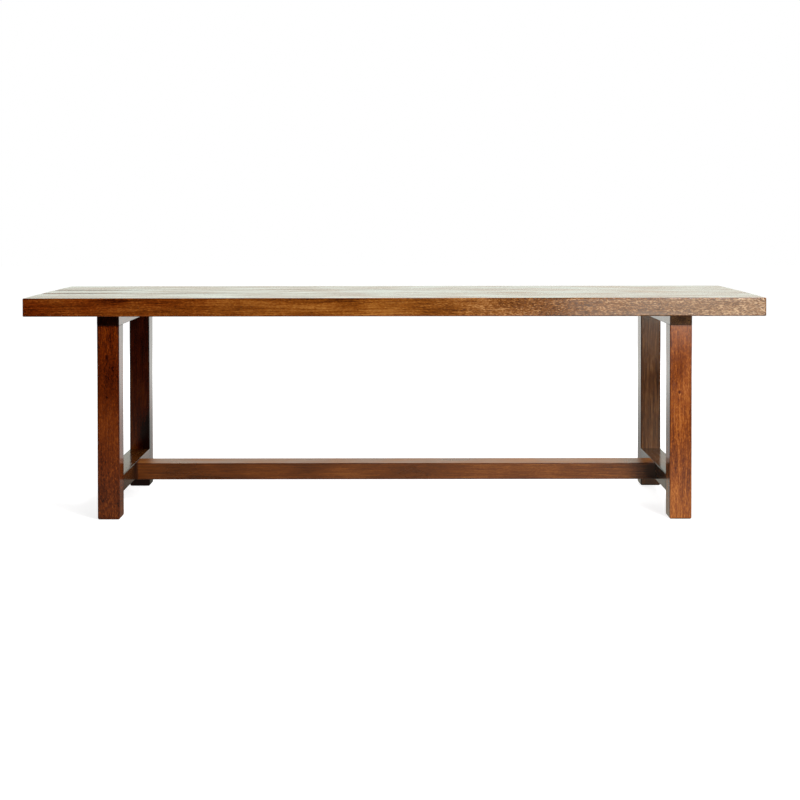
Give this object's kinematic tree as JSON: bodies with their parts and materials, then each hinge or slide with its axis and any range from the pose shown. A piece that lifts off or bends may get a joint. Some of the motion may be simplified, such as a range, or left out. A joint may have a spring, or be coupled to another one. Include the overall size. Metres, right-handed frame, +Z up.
{
  "type": "backless bench",
  "caption": "Backless trestle bench: thick flat hardwood seat on square-post end frames with flush low rails, tied by a low lengthwise stretcher.",
  "frame": {"origin": "on the floor, under the middle of the seat", "axes": "+X along the seat to the right, +Y to the back, +Z up"},
  "size_m": [1.5, 0.44, 0.453],
  "materials": {
    "seat_wood": "clear satin lacquer over reddish-brown hardwood",
    "frame_wood": "clear satin lacquer over dark reddish-brown hardwood",
    "joinery_wood": "bare beech",
    "zinc_steel": "zinc plated"
  },
  "bodies": {
    "root": {"seat_board_front": "seat_wood", "seat_board_middle": "seat_wood", "seat_board_back": "seat_wood", "seat_tongue_front": "joinery_wood", "seat_tongue_back": "joinery_wood", "bearer_left": "frame_wood", "bearer_right": "frame_wood", "post_front_left": "frame_wood", "post_front_right": "frame_wood", "post_back_left": "frame_wood", "post_back_right": "frame_wood", "rail_left": "frame_wood", "rail_right": "frame_wood", "stretcher": "frame_wood", "post_dowels": "joinery_wood", "stretcher_dowels": "joinery_wood", "bearer_screws": "zinc_steel", "bearer_washers": "zinc_steel", "stretcher_bolts": "zinc_steel", "stretcher_washers": "zinc_steel", "barrel_nuts": "zinc_steel"}
  },
  "joints": []
}
